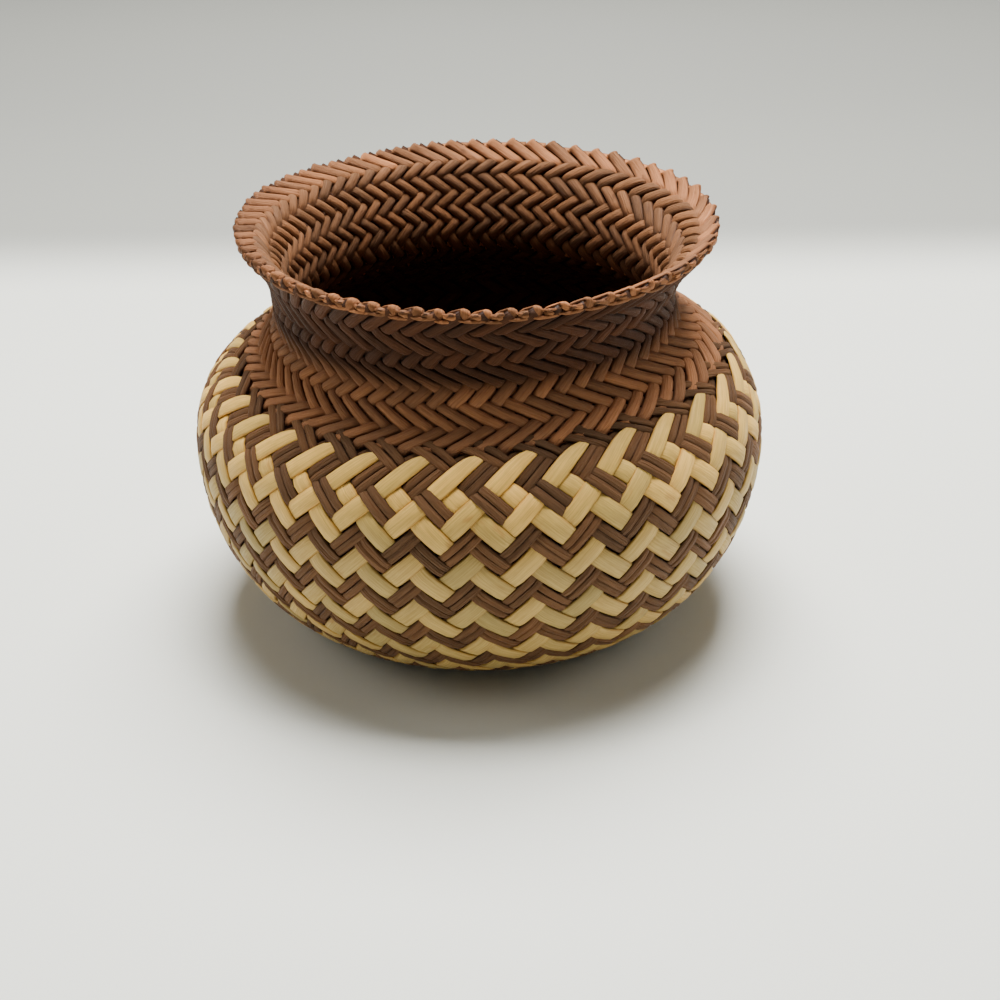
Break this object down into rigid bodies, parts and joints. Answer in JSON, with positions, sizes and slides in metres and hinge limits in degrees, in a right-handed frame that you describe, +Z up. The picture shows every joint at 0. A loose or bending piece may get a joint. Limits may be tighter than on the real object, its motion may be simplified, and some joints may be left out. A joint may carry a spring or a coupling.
{
  "type": "double weave basket",
  "caption": "Round-bellied double-walled plaited basket with a drawn-in neck and a flared, folded rim, in zigzag bands of cream splint and brown paired rods.",
  "frame": {"origin": "middle of the flat underside of the base, on the ground", "axes": "+Z up the basket's own axis to the mouth, -Y towards the viewer of the picture, +X to the viewer's right"},
  "size_m": [0.1448, 0.145, 0.105],
  "materials": {
    "cream_splint": "smooth natural splint, satin",
    "brown_rod": "dyed, split and scraped, dull satin",
    "neck_rod": "dyed, worn, dull",
    "rim_rod": "dyed, worn pale on the folds",
    "inner_rod": "dyed, dull"
  },
  "bodies": {
    "root": {"outer_base": "brown_rod", "inner_base": "inner_rod", "inner_lower_body": "inner_rod", "inner_upper_body": "inner_rod", "inner_neck": "inner_rod", "cream_course_1": "cream_splint", "cream_course_2": "cream_splint", "cream_course_3": "cream_splint", "cream_course_4": "cream_splint", "cream_course_5": "cream_splint", "cream_course_6": "cream_splint", "brown_course_1": "brown_rod", "brown_course_2": "brown_rod", "brown_course_3": "brown_rod", "brown_course_4": "brown_rod", "brown_course_5": "brown_rod", "shoulder_floats": "cream_splint", "neck_course_1": "neck_rod", "neck_course_2": "neck_rod", "neck_course_3": "neck_rod", "neck_course_4": "neck_rod", "neck_course_5": "neck_rod", "neck_course_6": "neck_rod", "neck_course_7": "neck_rod", "neck_course_8": "neck_rod", "rim_fold": "rim_rod"}
  },
  "joints": []
}
